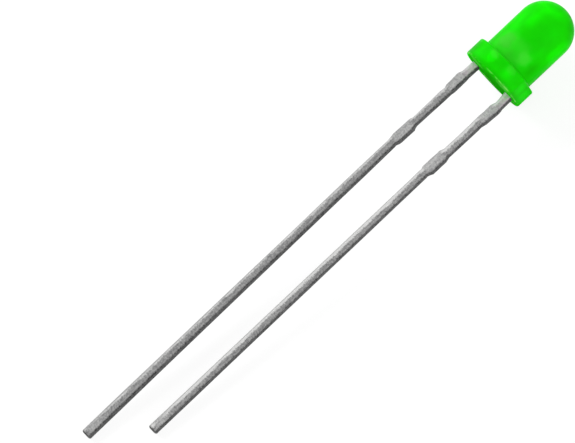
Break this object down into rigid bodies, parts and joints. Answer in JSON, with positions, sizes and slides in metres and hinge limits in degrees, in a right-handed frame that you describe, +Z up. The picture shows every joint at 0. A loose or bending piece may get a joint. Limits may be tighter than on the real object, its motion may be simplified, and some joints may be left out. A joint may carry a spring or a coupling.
{
  "type": "through hole led",
  "caption": "Round light-emitting diode with a domed, translucent green lens, a flange with a cathode flat, and long straight square leads with tie bar stubs.",
  "frame": {"origin": "under the middle of the LED's box, on the surface that it rests on", "axes": "+Z up, +X along the length from the lead tips to the dome, +Y from the cathode's side to the anode's. The LED lies as it comes to rest on a table, on its flange's rim and both lead tips, so its own axis rises 3.67 degrees towards the dome and it is rolled 4.01 degrees about that axis"},
  "size_m": [0.0326, 0.0036, 0.0039],
  "materials": {
    "green_epoxy": "diffused green epoxy, cast smooth and glossy, milky and translucent",
    "tinned_steel": "dull tin plate over stamped steel, finely streaked along the lead",
    "chip_crystal": "sawn crystal",
    "silver_adhesive": "silver filled epoxy, satin",
    "gold": "drawn gold wire"
  },
  "bodies": {
    "root": {"lens": "green_epoxy", "cathode_lead": "tinned_steel", "anode_lead": "tinned_steel", "led_die": "chip_crystal", "die_attach": "silver_adhesive", "bond_wire": "gold"}
  },
  "joints": []
}
